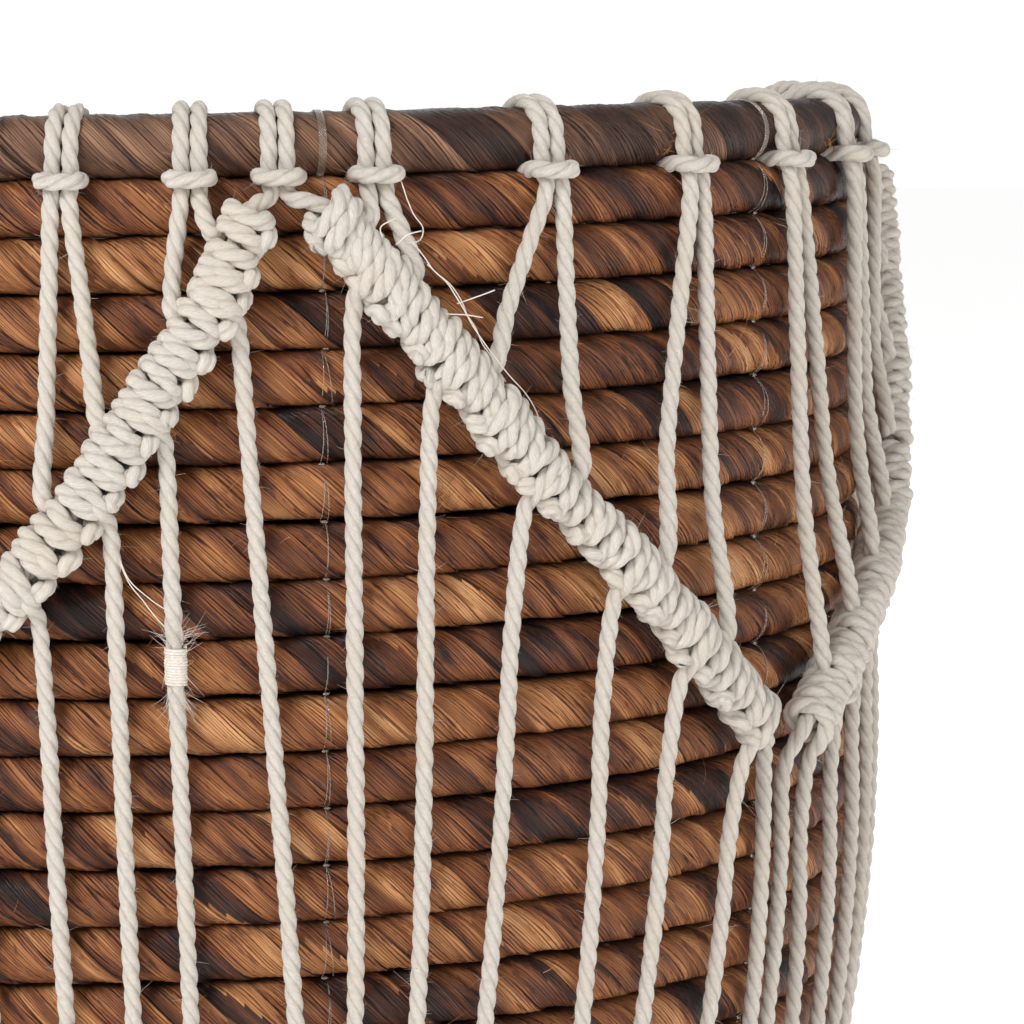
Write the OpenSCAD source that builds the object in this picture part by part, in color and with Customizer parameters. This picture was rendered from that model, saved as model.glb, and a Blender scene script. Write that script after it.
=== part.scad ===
// Planter basket of coiled leaf rope, wearing a net of knotted cotton cord.
//
// Millimetres, +Z up. The origin is the centre of the base, on the floor. The front is -Y. Angles are
// measured at the axis from the front, turning towards +X. Places on the wall are given by an angle, by
// the distance along the wall from the rim coil's centre, and by how far they stand off the coils' centres.

/* [Basket] */

// Outer radius of the straight part of the wall
wall_radius = 180; // [170:2:190]
// Distance from one wall coil to the next
coil_pitch = 13.5; // [13.2:0.1:13.7]
// Number of wall coils
coil_count = 24; // [22:1:26]
// Length of wall under the rim that stays upright
straight_length = 150; // [140:5:160]
// Radius of the curve that draws the lower wall in
foot_curve_radius = 540; // [520:20:660]
// Number of rings in the base
base_ring_count = 10; // [10:1:10]
// Radius of the rope in the rim coil
rim_rope_radius = 7.6; // [7.4:0.1:7.7]
// Distance from the rim coil's centre to the first wall coil's centre
rim_drop = 13.8; // [13.8:0.1:14.2]

/* [Net] */

// Radius of the cotton cord
cord_radius = 2; // [1.9:0.05:2]
// Angle of the first peak of the zigzag band
first_peak_angle = 5.5; // [0:0.5:10]
// Share of its angle from the peak that each strand keeps at the foot
foot_gather = 0.8; // [0.76:0.01:0.86]

/* [Stitching] */

// Half of the thickness of the clear thread
thread_radius = 0.3; // [0.2:0.05:0.3]
// Half of the angle that a stitch spans round its coil
stitch_half_angle = 58; // [50:1:58]

/* [Liner] */

// Outer radius of the liner's floor
liner_floor_radius = 130; // [120:2:132]
// Outer radius of the liner under its lip
liner_top_radius = 154; // [148:1:154]
// Height of the liner
liner_height = 287; // [270:1:290]
// Thickness of the liner
liner_wall = 2; // [1.5:0.5:2.5]
// Width of the liner's lip
lip_width = 3.5; // [2:0.5:3.5]

/* [Output] */

// Sub-part to draw, or all of them

/* [Hidden] */

$fn = 48;
revolve_sides = 96;

// Rope and wall.
rope_radius = coil_pitch / 2 + 0.15;
coil_line_radius = wall_radius - rope_radius;
rim_line_radius = wall_radius - rim_rope_radius;
rim_bed_gap = 0.2;
wall_length = rim_drop + coil_pitch * (coil_count - 1);
rim_z = rope_radius + straight_length + foot_curve_radius * sin(curve_angle(wall_length));

// Base.
base_rope_radius = 6.8;
base_rope_z = 6;
base_gap = 0.35;
base_edge_radius = wall_point(wall_length, 0)[0] - rope_radius - base_rope_radius - base_gap;
base_ring_step = base_edge_radius / base_ring_count;

// Cord, where it hangs and where it is knotted.
bead_radius = cord_radius * 1.05;
rod_trim = 0.3;
strand_offset = rope_radius + 3.5;
holding_offset = rope_radius + 7.5;

// The pattern repeats round the basket. Each repeat has eight cords: their angles from the peak.
repeat_count = 4;
repeat_angle = 360 / repeat_count;
knot_angles = [-41.7, -28.2, -15.8, -6.4, 0, 7.2, 21.3, 35.1];
peak_knot = 4;
cord_count = repeat_count * len(knot_angles);

// Ends of the hitch chains on each side of the peak: angle from the peak, and distance down the wall.
left_chain_ends = [
    [2.2, 13.5], [7.2, 38], [12.2, 66], [16.4, 87.5], [21.4, 104], [27, 115.5], [32.4, 126],
    [37.8, 137.5], [43, 149]
];
right_chain_ends = [
    [2.6, 13.5], [7.6, 31], [14.2, 63], [21.7, 89], [28.7, 108.5], [35.2, 129], [42.2, 148.5]
];

// Lark's head.
head_half_gap = cord_radius + 0.1;
head_loop_radius = rim_rope_radius + cord_radius + 0.2;
head_loop_sweep = 230;
bar_drop = 7.6;
bar_half_width = 4.3;
bar_offset = holding_offset - 1.15;
bar_end_offset = rope_radius + 0.2;
strand_start_drop = 10.5;

// Half hitches.
hitch_length = 5.2;
hitch_radius = 2.6;
hitch_line_radius = 3.5;
hitch_core_radius = 4.4;
hitch_bore_radius = cord_radius + 0.25;
chain_end_gap = 1;
strand_side = 5.5;
strand_inset = 5.5;

// Valley and foot.
valley_drop = 9;
valley_half_angle = 1.5;
valley_foot_half_angle = 1;
strand_end_drop = wall_length - 3;
waypoint_step = (strand_end_drop - straight_length) / 4;
waypoint_clear = 8;
foot_ring_drop = wall_length - 19.5;
foot_ring_offset = strand_offset + 2 * cord_radius + 0.4;

// Stitch columns in each repeat: their angles from the peak.
stitch_angles = [3.5, 45.4];
stitch_loop_radius = rope_radius + thread_radius + 0.2;
rim_stitch_radius = rim_rope_radius + thread_radius + 0.2;
rim_stitch_back_angle = 200;

// Liner.
liner_z = base_rope_z + base_rope_radius + 0.2;

rope_color = "#9a6a3c";
rim_color = "#6f5f4e";
cord_color = "#efe9dc";
thread_color = "#d8d2c8";
liner_color = "#3a3a38";

function cord_name(i) = str("cord_", i < 9 ? "0" : "", i + 1);

// ---- Places on the wall ----

// Lean of the wall from upright, at a distance down it.
function curve_angle(drop) = max(0, drop - straight_length) / foot_curve_radius * 180 / PI;

// Radius and height of a place, at a distance down the wall and an offset from the coils' centres.
function wall_point(drop, offset) =
    let (a = curve_angle(drop))
    [
        coil_line_radius - foot_curve_radius * (1 - cos(a)) + offset * cos(a),
        rim_z - min(drop, straight_length) - (foot_curve_radius + offset) * sin(a)
    ];

function on_wall(angle, drop, offset) =
    let (p = wall_point(drop, offset))
    [p[0] * sin(angle), -p[0] * cos(angle), p[1]];

// Angle that a length along the coils takes up, at the straight part of the wall.
function arc_angle(length) = length / (wall_radius + strand_offset - rope_radius) * 180 / PI;

// ---- Where the strands run ----

// Place on the edge of a chain, near its start (end = 0) or its end (end = 1), as [angle, drop].
function chain_edge(ends, k, end) =
    let (
        a = ends[k],
        b = ends[k + 1],
        run = [(b[0] - a[0]) / arc_angle(1), b[1] - a[1]],
        along = run / norm(run),
        up = [along[1], -along[0]],
        from = end == 0 ? a : b,
        way = end == 0 ? 1 : -1,
        step = way * (strand_inset * along + strand_side * up)
    )
    [from[0] + arc_angle(step[0]), from[1] + step[1]];

// Waypoints of a strand from a place [angle, drop] down to its free end at the foot.
function strand_down(angle, drop, end_angle) =
    concat(
        [[angle, drop]],
        [
            for (i = [0 : 4])
                let (d = straight_length + i * waypoint_step)
                if (d > drop + waypoint_clear)
                    [angle + (end_angle - angle) * (d - drop) / (strand_end_drop - drop), d]
        ]
    );

// ---- Shapes ----

// A straight piece of cord that stops just short of both ends, where beads join it to the next.
module rod(p, q) {
    d = q - p;
    length = norm(d);
    translate(p)
        rotate([0, acos(d[2] / length), atan2(d[1], d[0])])
            translate([0, 0, rod_trim])
                cylinder(r = cord_radius, h = length - 2 * rod_trim);
}

module bead(p) {
    translate(p)
        sphere(r = bead_radius);
}

// A cord through a list of points.
module cord_line(points) {
    for (i = [0 : len(points) - 1])
        bead(points[i]);
    for (i = [1 : len(points) - 1])
        rod(points[i - 1], points[i]);
}

// Half hitches in a row, as one ribbed sleeve along +Z.
module hitches(length) {
    count = max(2, round(length / hitch_length));
    step = (length - 2 * hitch_radius) / (count - 1);
    rotate_extrude()
        difference() {
            union() {
                square([hitch_core_radius, length]);
                for (i = [0 : count - 1])
                    translate([hitch_line_radius, hitch_radius + i * step])
                        circle(r = hitch_radius);
            }
            translate([-1, -1])
                square([hitch_bore_radius + 1, length + 2]);
        }
}

// A chain of hitches between two points on a holding cord.
module chain(p, q) {
    d = q - p;
    length = norm(d);
    translate(p)
        rotate([0, acos(d[2] / length), atan2(d[1], d[0])])
            translate([0, 0, chain_end_gap])
                hitches(length - 2 * chain_end_gap);
}

// The fold of a cord over the rim coil, at the front. The ends of its bar stop in the gap under the rim
// coil, and its loops stop inside it: the pinched way between them is left out.
module larks_head() {
    for (side = [-1, 1]) {
        translate([side * head_half_gap, -rim_line_radius, rim_z])
            rotate([90, 0, -90])
                rotate_extrude(angle = head_loop_sweep, $fn = revolve_sides)
                    translate([head_loop_radius, 0])
                        circle(r = cord_radius);
        bead([
            side * head_half_gap,
            -rim_line_radius - head_loop_radius * cos(head_loop_sweep),
            rim_z + head_loop_radius * sin(head_loop_sweep)
        ]);
    }
    bar_r = coil_line_radius + bar_offset;
    end_r = coil_line_radius + bar_end_offset;
    z = rim_z - bar_drop;
    cord_line([
        [-bar_half_width, -end_r, z],
        [-bar_half_width, -bar_r, z],
        [bar_half_width, -bar_r, z],
        [bar_half_width, -end_r, z]
    ]);
}

// The start of a strand under its lark's head, as wall places [angle, drop, offset].
function strand_start(knot, side) =
    let (a = knot + side * arc_angle(head_half_gap))
    [
        [a, 0, rim_line_radius + head_loop_radius - coil_line_radius],
        [a, strand_start_drop, strand_offset]
    ];

function with_offset(places, offset) = [for (p = places) [p[0], p[1], offset]];

module wall_cord(places) {
    cord_line([for (p = places) on_wall(p[0], p[1], p[2])]);
}

// A strand that ties chain k on the side of the peak given by turn (-1 left, 1 right).
module tied_strand(knot, side, turn, k) {
    ends = turn < 0 ? left_chain_ends : right_chain_ends;
    entry = chain_edge(ends, k, 0);
    exit = chain_edge(ends, k, 1);
    wall_cord(concat(
        strand_start(knot, side),
        [[turn * entry[0], entry[1], strand_offset]]
    ));
    chain(
        on_wall(turn * ends[k][0], ends[k][1], holding_offset),
        on_wall(turn * ends[k + 1][0], ends[k + 1][1], holding_offset)
    );
    wall_cord(with_offset(
        strand_down(turn * exit[0], exit[1], turn * foot_gather * exit[0]),
        strand_offset
    ));
}

// A strand that runs inside the band on one side of the peak, and holds its chains.
module holding_strand(side) {
    ends = side < 0 ? left_chain_ends : right_chain_ends;
    valley = repeat_angle / 2;
    turn_drop = ends[len(ends) - 1][1] + valley_drop;
    end_angle = side * (valley - valley_foot_half_angle);
    wall_cord(concat(
        strand_start(0, side),
        [for (e = ends) [side * e[0], e[1], holding_offset]],
        with_offset(strand_down(side * (valley - valley_half_angle), turn_drop, end_angle), strand_offset)
    ));
}

// ---- Sub-parts ----

module base_coil() {
    color(rope_color)
        rotate_extrude($fn = revolve_sides)
            intersection() {
                square([wall_radius, 2 * coil_pitch]);
                for (i = [0 : base_ring_count])
                    translate([i * base_ring_step, base_rope_z])
                        circle(r = base_rope_radius);
            }
}

module wall_coil() {
    color(rope_color)
        rotate_extrude($fn = revolve_sides)
            difference() {
                for (i = [0 : coil_count - 1])
                    translate(wall_point(rim_drop + i * coil_pitch, 0))
                        circle(r = rope_radius);
                translate([rim_line_radius, rim_z])
                    circle(r = rim_rope_radius + rim_bed_gap);
            }
}

module rim_coil() {
    color(rim_color)
        rotate_extrude($fn = revolve_sides)
            translate([rim_line_radius, rim_z])
                circle(r = rim_rope_radius);
}

// One loop of thread round a coil, from an angle below its front to an angle above it.
module stitch(centre, loop_radius, from_angle, to_angle) {
    translate([0, -centre[0], centre[1]])
        rotate([90, 0, -90])
            rotate([0, 0, from_angle])
                rotate_extrude(angle = to_angle - from_angle)
                    translate([loop_radius, 0])
                        square(2 * thread_radius, center = true);
}

module stitch_column() {
    stitch([rim_line_radius, rim_z], rim_stitch_radius, -stitch_half_angle / 2, rim_stitch_back_angle);
    for (i = [0 : coil_count - 1]) {
        drop = rim_drop + i * coil_pitch;
        lean = curve_angle(drop);
        top = i == 0 ? stitch_half_angle / 2 : stitch_half_angle;
        bottom = i == coil_count - 1 ? stitch_half_angle / 2 : stitch_half_angle;
        stitch(wall_point(drop, 0), stitch_loop_radius, -bottom - lean, top - lean);
    }
}

module stitching() {
    color(thread_color)
        for (q = [0 : repeat_count - 1], a = stitch_angles)
            rotate([0, 0, first_peak_angle + q * repeat_angle + a])
                stitch_column();
}

module foot_cord() {
    color(cord_color)
        rotate_extrude($fn = revolve_sides)
            translate(wall_point(foot_ring_drop, foot_ring_offset))
                circle(r = cord_radius);
}

// A tapered tub with a flat lip.
module liner() {
    top = liner_z + liner_height;
    color(liner_color)
        rotate_extrude($fn = revolve_sides)
            polygon([
                [0, liner_z],
                [liner_floor_radius, liner_z],
                [liner_top_radius, top - liner_wall],
                [liner_top_radius + lip_width, top - liner_wall],
                [liner_top_radius + lip_width, top],
                [liner_top_radius - liner_wall, top],
                [liner_floor_radius - liner_wall, liner_z + liner_wall],
                [0, liner_z + liner_wall]
            ]);
}

// One cord: a lark's head and its two strands.
module cord(i) {
    q = floor(i / len(knot_angles));
    j = i % len(knot_angles);
    color(cord_color)
        rotate([0, 0, first_peak_angle + q * repeat_angle]) {
            rotate([0, 0, knot_angles[j]])
                larks_head();
            for (side = [-1, 1]) {
                if (j == peak_knot)
                    holding_strand(side);
                else if (j < peak_knot)
                    tied_strand(knot_angles[j], side, -1, 2 * (peak_knot - j) - (side < 0 ? 1 : 2));
                else
                    tied_strand(knot_angles[j], side, 1, 2 * (j - peak_knot) - (side < 0 ? 2 : 1));
            }
        }
}

base_coil();
wall_coil();
rim_coil();
stitching();
foot_cord();
liner();
for (i = [0 : cord_count - 1])
    cord(i);
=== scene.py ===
import math

import bpy
import numpy as np
from mathutils import Matrix, Vector


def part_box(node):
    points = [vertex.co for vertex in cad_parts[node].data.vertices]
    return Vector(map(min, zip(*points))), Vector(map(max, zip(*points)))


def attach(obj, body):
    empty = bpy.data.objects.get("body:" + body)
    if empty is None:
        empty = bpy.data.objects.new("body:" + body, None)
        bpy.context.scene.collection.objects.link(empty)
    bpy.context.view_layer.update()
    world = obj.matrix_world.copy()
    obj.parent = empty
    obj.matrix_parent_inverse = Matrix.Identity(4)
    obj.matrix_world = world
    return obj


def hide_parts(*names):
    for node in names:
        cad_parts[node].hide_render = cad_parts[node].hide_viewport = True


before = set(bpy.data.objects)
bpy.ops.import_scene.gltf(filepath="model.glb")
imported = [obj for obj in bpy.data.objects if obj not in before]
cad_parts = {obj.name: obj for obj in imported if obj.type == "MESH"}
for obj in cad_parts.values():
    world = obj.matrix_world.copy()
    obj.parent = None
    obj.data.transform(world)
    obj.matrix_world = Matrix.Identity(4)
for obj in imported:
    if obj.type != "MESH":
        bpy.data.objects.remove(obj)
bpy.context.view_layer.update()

# Looks of a planter basket of coiled leaf rope in a net of knotted cotton cord.
#
# Lengths in this script are millimetres, and meshes are scaled to metres as they are made. Angles round
# the basket are degrees from the front (-Y), turning towards +X. A place on the wall is its angle, its
# distance down the wall from the rim coil's centre (drop), and how far it stands off the coils' centres.

MM = 0.001
TURN = 2 * math.pi
UP = np.array([0, 0, 1.0])


def box_mm(node):
    """Lowest and highest corner of a CAD node, in millimetres."""
    low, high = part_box(node)
    return np.array(low) / MM, np.array(high) / MM


# ---- Sizes, from the frame and from the part's design ----

rim_low, rim_high = box_mm("rim_coil")
RIM_Z = (rim_low[2] + rim_high[2]) / 2
RIM_RADIUS = (rim_high[2] - rim_low[2]) / 2
RIM_LINE_RADIUS = rim_high[0] - RIM_RADIUS

COIL_PITCH = 13.5
COIL_COUNT = 24
RIM_DROP = 13.8
STRAIGHT_LENGTH = 150
FOOT_CURVE_RADIUS = 540
ROPE_RADIUS = COIL_PITCH / 2 + 0.15
COIL_LINE_RADIUS = rim_high[0] - ROPE_RADIUS
WALL_LENGTH = RIM_DROP + COIL_PITCH * (COIL_COUNT - 1)

CORD_RADIUS = 2.0
STRAND_OFFSET = ROPE_RADIUS + 3.5
HOLDING_OFFSET = ROPE_RADIUS + 7.5
HEAD_RADIUS = RIM_RADIUS + CORD_RADIUS - 0.9
HEAD_BAR_DROP = 11.5
FIRST_PEAK_ANGLE = 5.5
REPEAT_COUNT = 4
REPEAT_ANGLE = 360 / REPEAT_COUNT
KNOT_ANGLES = [-41.7, -28.2, -15.8, -6.4, 0, 7.2, 21.3, 35.1]
PEAK_KNOT = 4
# Where each strand's chain of hitches begins and ends: angle from the peak, and drop.
LEFT_CHAIN_ENDS = [
    (2.2, 14.5), (5.4, 37.5), (10.6, 62.5), (14.6, 82), (19.8, 102.5), (25.5, 113.5), (31.3, 124.5),
    (37.2, 137), (43, 150),
]
RIGHT_CHAIN_ENDS = [
    (3.2, 14.5), (7.4, 31), (13.2, 53), (20.4, 80.5), (28, 103), (34.6, 124.5), (41.8, 146),
]
# Share of its angle from the peak that each strand keeps at the foot, from the peak outwards. The first
# one on the left crosses under the peak.
LEFT_FOOT_SHARES = [-1.1, 0.7, 0.82, 0.83, 0.84, 0.84, 0.86, 0.88]
RIGHT_FOOT_SHARES = [1.0, 0.84, 0.72, 0.86, 0.84, 0.88]
STITCH_ANGLES = [3.5, 45.4]
STRAND_END_DROP = WALL_LENGTH - 3
ROPE_END_ANGLE = 115
FOOT_RING_DROP = WALL_LENGTH - 19.5
FOOT_RING_OFFSET = STRAND_OFFSET + 2 * CORD_RADIUS + 0.4
FLOOR_CLEARANCE = 0.05


# ---- Camera ----

def make_camera():
    """A long lens in front of the basket, looking a little down and to the right."""
    distance = 1.09585
    height_over_rim = 0.013
    pitch_down, yaw_right, roll = (math.radians(a) for a in (3.942, 3.002, 0.435))
    data = bpy.data.cameras.new("camera")
    data.sensor_width = 36
    data.lens = 139.48
    data.shift_x = 0.0977
    data.shift_y = -0.1465
    camera = bpy.data.objects.new("camera", data)
    bpy.context.scene.collection.objects.link(camera)
    ahead_flat = np.array([math.sin(yaw_right), math.cos(yaw_right), 0])
    side = np.array([math.cos(yaw_right), -math.sin(yaw_right), 0])
    ahead = ahead_flat * math.cos(pitch_down) - UP * math.sin(pitch_down)
    over = ahead_flat * math.sin(pitch_down) + UP * math.cos(pitch_down)
    right = side * math.cos(roll) - over * math.sin(roll)
    up = side * math.sin(roll) + over * math.cos(roll)
    turn = Matrix([[right[i], up[i], -ahead[i]] for i in range(3)]).to_4x4()
    camera.matrix_world = Matrix.Translation((0, -distance, RIM_Z * MM + height_over_rim)) @ turn
    bpy.context.scene.camera = camera


make_camera()


# ---- Places on the wall ----

def wall_place(angle, drop, offset):
    """Points on the wall as rows of x, y, z. Any of the three may be an array."""
    angle, drop, offset = np.broadcast_arrays(
        np.asarray(angle, float), np.asarray(drop, float), np.asarray(offset, float)
    )
    lean = np.maximum(0, drop - STRAIGHT_LENGTH) / FOOT_CURVE_RADIUS
    radius = COIL_LINE_RADIUS - FOOT_CURVE_RADIUS * (1 - np.cos(lean)) + offset * np.cos(lean)
    height = RIM_Z - np.minimum(drop, STRAIGHT_LENGTH) - (FOOT_CURVE_RADIUS + offset) * np.sin(lean)
    turn = np.radians(angle)
    return np.stack([radius * np.sin(turn), -radius * np.cos(turn), height], axis=-1)


def arc_angle(length):
    """Angle that a length along the net takes up."""
    return math.degrees(length / (COIL_LINE_RADIUS + STRAND_OFFSET))


def climb_angle(angle):
    """The same angle, counted from the front to the rope's end, where the climbing rope stops."""
    return (np.asarray(angle, float) - ROPE_END_ANGLE) % 360 - 360 + ROPE_END_ANGLE


def net_place(angle, drop, offset):
    """A place on the net. The coils climb to the right, and the net's top follows them."""
    share = np.clip(1 - np.asarray(drop, float) / WALL_LENGTH, 0, 1)
    rise = COIL_PITCH * climb_angle(angle) / 360 * share
    return wall_place(angle, drop - rise, offset)


# ---- Mesh helpers ----

def ease(share):
    """A share from 0 to 1, made to start and end gently."""
    return share * share * (3 - 2 * share)


def smooth_noise(rng, count, wave):
    """Random values between about -1 and 1 that change smoothly, with a knot every wave steps."""
    knots = rng.uniform(-1, 1, int(count / wave) + 4)
    at = np.arange(count) / wave
    low = at.astype(int)
    blend = ease(at - low)
    return knots[low] * (1 - blend) + knots[low + 1] * blend


def unit(vectors):
    """The vectors, each with a length of 1."""
    return vectors / np.linalg.norm(vectors, axis=-1, keepdims=True)


def line_lengths(line):
    """How far along a line each of its points is."""
    return np.concatenate([[0], np.cumsum(np.linalg.norm(np.diff(line, axis=0), axis=1))])


def make_piece(name, points, quads, body, material, replaces=(), uv=None, tone=None):
    """A smooth mesh piece of four-sided faces. points are millimetres, uv and tone are per face corner."""
    points[:, 2] = np.maximum(points[:, 2], FLOOR_CLEARANCE)
    mesh = bpy.data.meshes.new(name)
    mesh.vertices.add(len(points))
    mesh.vertices.foreach_set("co", (points * MM).astype(np.float32).ravel())
    mesh.loops.add(quads.size)
    mesh.loops.foreach_set("vertex_index", quads.astype(np.int32).ravel())
    mesh.polygons.add(len(quads))
    mesh.polygons.foreach_set("loop_start", np.arange(0, quads.size, 4, dtype=np.int32))
    mesh.polygons.foreach_set("use_smooth", np.ones(len(quads), bool))
    mesh.update(calc_edges=True)
    if uv is not None:
        layer = mesh.uv_layers.new(name="fibre")
        layer.data.foreach_set("uv", uv.astype(np.float32).ravel())
    if tone is not None:
        layer = mesh.attributes.new("tone", "FLOAT_COLOR", "CORNER")
        layer.data.foreach_set("color", tone.astype(np.float32).ravel())
    piece = bpy.data.objects.new(name, mesh)
    bpy.context.scene.collection.objects.link(piece)
    mesh.materials.append(material)
    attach(piece, body)
    if replaces:
        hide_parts(*replaces)
    return piece


def grid_quads(rows, columns, start=0):
    """Quads of a tube: rows rings of columns points each, closed round."""
    row = np.arange(rows - 1)[:, None] * columns
    column = np.arange(columns)[None, :]
    after = (column + 1) % columns
    quads = np.stack(
        [row + column, row + after, row + columns + after, row + columns + column], axis=-1
    )
    return quads.reshape(-1, 4) + start


def quad_corners(quads, columns):
    """Row and column of each quad of a tube, and those of its four corners."""
    row, column = np.divmod(quads[:, 0], columns)
    corner_row = np.stack([row, row, row + 1, row + 1], axis=1)
    corner_column = np.stack([column, column + 1, column + 1, column], axis=1)
    return row, column, corner_row, corner_column


def cap_quads(columns, start, flip):
    """Quads that close the end ring of a tube with an even number of columns."""
    ring = np.arange(columns)
    if flip:
        ring = ring[::-1]
    half = columns // 2
    quads = [
        [ring[i], ring[i + 1], ring[columns - 2 - i], ring[columns - 1 - i]] for i in range(half - 1)
    ]
    return np.array(quads) + start


def frames_along(line):
    """Tangents and two side directions of a line, turning as little as possible."""
    tangents = unit(np.gradient(line, axis=0))
    side = np.cross(tangents[0], [0.31, 0.95, 0.05])
    sides = np.empty_like(line)
    sides[0] = side / np.linalg.norm(side)
    for i in range(1, len(line)):
        side = sides[i - 1] - tangents[i] * (sides[i - 1] @ tangents[i])
        sides[i] = side / np.linalg.norm(side)
    return tangents, sides, np.cross(tangents, sides)


def curve_through(points, step):
    """A smooth line through the points (centripetal Catmull-Rom) with even steps, and the number of the
    given point that each place on it has reached."""
    parts = 12
    points = np.asarray(points, float)
    ends = np.vstack([2 * points[0] - points[1], points, 2 * points[-1] - points[-2]])
    fine = []
    share = np.linspace(0, 1, parts + 1)[:-1, None]
    for i in range(len(points) - 1):
        a, b, c, d = ends[i : i + 4]
        t1 = max(np.linalg.norm(b - a), 1e-6) ** 0.5
        t2 = t1 + max(np.linalg.norm(c - b), 1e-6) ** 0.5
        t3 = t2 + max(np.linalg.norm(d - c), 1e-6) ** 0.5
        t = t1 + share * (t2 - t1)
        ab = (t1 - t) / t1 * a + t / t1 * b
        bc = (t2 - t) / (t2 - t1) * b + (t - t1) / (t2 - t1) * c
        cd = (t3 - t) / (t3 - t2) * c + (t - t2) / (t3 - t2) * d
        abc = (t2 - t) / t2 * ab + t / t2 * bc
        bcd = (t3 - t) / (t3 - t1) * bc + (t - t1) / (t3 - t1) * cd
        fine.append((t2 - t) / (t2 - t1) * abc + (t - t1) / (t2 - t1) * bcd)
    fine = np.vstack(fine + [points[-1:]])
    along = line_lengths(fine)
    at = np.linspace(0, along[-1], max(4, int(round(along[-1] / step)) + 1))
    line = np.stack([np.interp(at, along, fine[:, i]) for i in range(3)], axis=1)
    share_at = np.interp(at, along, np.arange(len(fine)) / parts)
    return line, share_at


def hair_tubes(roots, ways, bends, lengths, thickness, steps=4):
    """Many thin tapered three-sided fibres. Each starts at its root, sets off along its way and bends."""
    share = np.linspace(0, 1, steps)[None, :, None]
    line = roots[:, None] + lengths[:, None, None] * (
        ways[:, None] * share + bends[:, None] * share**2
    )
    side = unit(np.cross(ways, bends + [0.013, 0.021, 0.017]))
    over = unit(np.cross(ways, side))
    angles = np.arange(3) * TURN / 3
    ring = (
        np.cos(angles)[None, None, :, None] * side[:, None, None, :]
        + np.sin(angles)[None, None, :, None] * over[:, None, None, :]
    )
    taper = 1 - 0.75 * share[..., None]
    points = line[:, :, None, :] + thickness * taper * ring
    one = grid_quads(steps, 3)
    starts = np.arange(len(roots)) * steps * 3
    quads = (one[None] + starts[:, None, None]).reshape(-1, 4)
    return points.reshape(-1, 3), quads


# ---- Materials ----

class Nodes:
    """A material's node tree, with short calls to add a node and join its sockets."""

    def __init__(self, name):
        self.material = bpy.data.materials.new(name)
        self.material.use_nodes = True
        self.tree = self.material.node_tree
        self.shader = self.tree.nodes["Principled BSDF"]

    def add(self, kind, values=None, **settings):
        node = self.tree.nodes.new(kind)
        for key, value in settings.items():
            setattr(node, key, value)
        for key, value in (values or {}).items():
            if isinstance(value, bpy.types.NodeSocket):
                self.tree.links.new(value, node.inputs[key])
            else:
                node.inputs[key].default_value = value
        return node

    def math(self, operation, a, b=0.0, clamp=False):
        """One step of arithmetic."""
        return self.add("ShaderNodeMath", {0: a, 1: b}, operation=operation, use_clamp=clamp).outputs[0]

    def fit(self, value, from_low, from_high, to_low, to_high):
        """The value moved from one range to another, and kept inside it."""
        return self.add(
            "ShaderNodeMapRange",
            {"Value": value, 1: from_low, 2: from_high, 3: to_low, 4: to_high},
        ).outputs[0]

    def from_half(self, value):
        """How far the value's fraction is from a half: 0 to 0.5."""
        return self.math("ABSOLUTE", self.math("SUBTRACT", self.math("FRACT", value), 0.5))

    def stretched(self, coordinate, scale):
        return self.add("ShaderNodeMapping", {"Vector": coordinate, "Scale": scale}).outputs[0]

    def noise(self, coordinate, scale, detail=3.0, roughness=0.55):
        return self.add(
            "ShaderNodeTexNoise",
            {"Vector": coordinate, "Scale": scale, "Detail": detail, "Roughness": roughness},
        ).outputs[0]

    def ramp(self, value, stops):
        node = self.add("ShaderNodeValToRGB", {"Fac": value})
        elements = node.color_ramp.elements
        while len(elements) < len(stops):
            elements.new(0.5)
        for element, (position, colour) in zip(elements, stops):
            element.position = position
            element.color = (*colour, 1)
        return node.outputs[0]

    def mix(self, share, a, b, blend="MIX"):
        return self.add(
            "ShaderNodeMix", {0: share, 6: a, 7: b}, data_type="RGBA", blend_type=blend
        ).outputs[2]

    def bump(self, height, distance):
        return self.add("ShaderNodeBump", {"Height": height, "Distance": distance}).outputs[0]

    def set(self, **values):
        """Gives the shader its values. An underscore stands for a space in a socket's name."""
        for key, value in values.items():
            socket = self.shader.inputs[key.replace("_", " ")]
            if isinstance(value, bpy.types.NodeSocket):
                self.tree.links.new(value, socket)
            else:
                socket.default_value = value


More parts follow.
